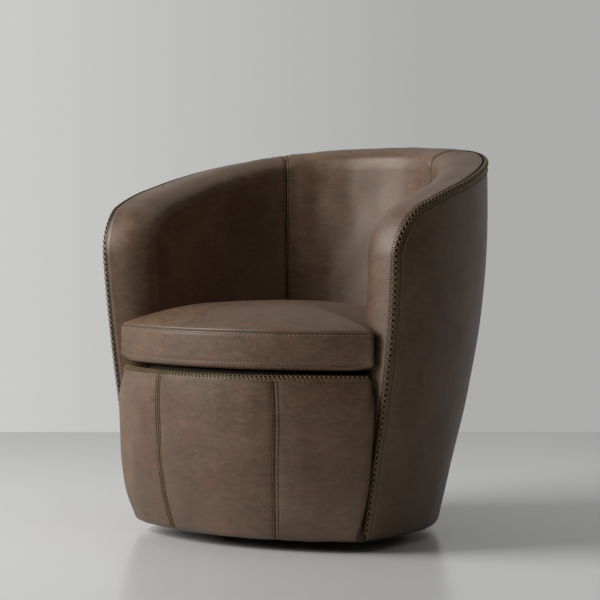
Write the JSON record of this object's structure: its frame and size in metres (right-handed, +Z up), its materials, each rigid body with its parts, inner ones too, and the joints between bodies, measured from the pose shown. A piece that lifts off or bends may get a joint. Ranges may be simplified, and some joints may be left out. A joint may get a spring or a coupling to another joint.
{
  "type": "leather swivel club chair",
  "caption": "Barrel-backed leather club chair with a laced rim, a loose crowned seat cushion, a stitched front panel and a hidden floor swivel.",
  "frame": {"origin": "on the floor, on the swivel's axis, under the middle of the chair", "axes": "+Z up, the chair's front towards -Y, its left arm (seen from the front) at -X"},
  "size_m": [0.7888, 0.7301, 0.8213],
  "materials": {
    "brown_leather": "satin",
    "lacing_thread": "matte",
    "foam": "matte",
    "birch_plywood": "satin",
    "beech": "satin",
    "blackened_wood": "satin",
    "zinc_plated_steel": "satin",
    "spring_steel": "satin",
    "black_cambric": "matte",
    "grey_felt": "matte",
    "cage_nylon": "matte"
  },
  "bodies": {
    "base": {"floor_glide_1": "grey_felt", "floor_glide_2": "grey_felt", "floor_glide_3": "grey_felt", "floor_glide_4": "grey_felt", "base_disc": "blackened_wood", "swivel_lower_plate": "zinc_plated_steel", "lower_bolt_1": "zinc_plated_steel", "lower_bolt_2": "zinc_plated_steel", "lower_bolt_3": "zinc_plated_steel", "lower_bolt_4": "zinc_plated_steel", "ball_cage": "cage_nylon", "swivel_pin": "zinc_plated_steel"},
    "chair": {"swivel_upper_plate": "zinc_plated_steel", "upper_bolt_1": "zinc_plated_steel", "upper_bolt_2": "zinc_plated_steel", "upper_bolt_3": "zinc_plated_steel", "upper_bolt_4": "zinc_plated_steel", "bottom_board": "birch_plywood", "dust_cover": "black_cambric", "barrel_shell": "birch_plywood", "arm_post_left": "beech", "arm_post_right": "beech", "barrel_foam": "foam", "outer_cover_left": "brown_leather", "outer_cover_back": "brown_leather", "outer_cover_right": "brown_leather", "inner_cover_left": "brown_leather", "inner_cover_back": "brown_leather", "inner_cover_right": "brown_leather", "apron_cover_left": "brown_leather", "apron_cover_middle": "brown_leather", "apron_cover_right": "brown_leather", "rim_bead": "lacing_thread", "apron_bead": "lacing_thread", "apron_pad": "foam", "apron_board": "birch_plywood", "seat_rail_front": "beech", "seat_rail_back": "beech", "seat_rail_left": "beech", "seat_rail_right": "beech", "seat_brace_left": "beech", "seat_brace_right": "beech", "seat_spring_1": "spring_steel", "seat_spring_2": "spring_steel", "seat_spring_3": "spring_steel", "seat_spring_4": "spring_steel", "seat_spring_5": "spring_steel", "deck_pad": "foam", "deck_cloth": "black_cambric"},
    "cushion": {"cushion_core": "foam", "cushion_top": "brown_leather", "cushion_boxing": "brown_leather", "cushion_zip_panel": "brown_leather", "cushion_bottom": "brown_leather"}
  },
  "joints": [
    {"name": "swivel", "type": "hinge", "parent": "base", "child": "chair", "pos_m": [0, 0, 0], "axis": [0, 0, 1], "continuous": true},
    {"name": "cushion_lift", "type": "slide", "parent": "chair", "child": "cushion", "axis": [0, -0.2402, 0.9707], "range_m": [0, 0.3]}
  ]
}
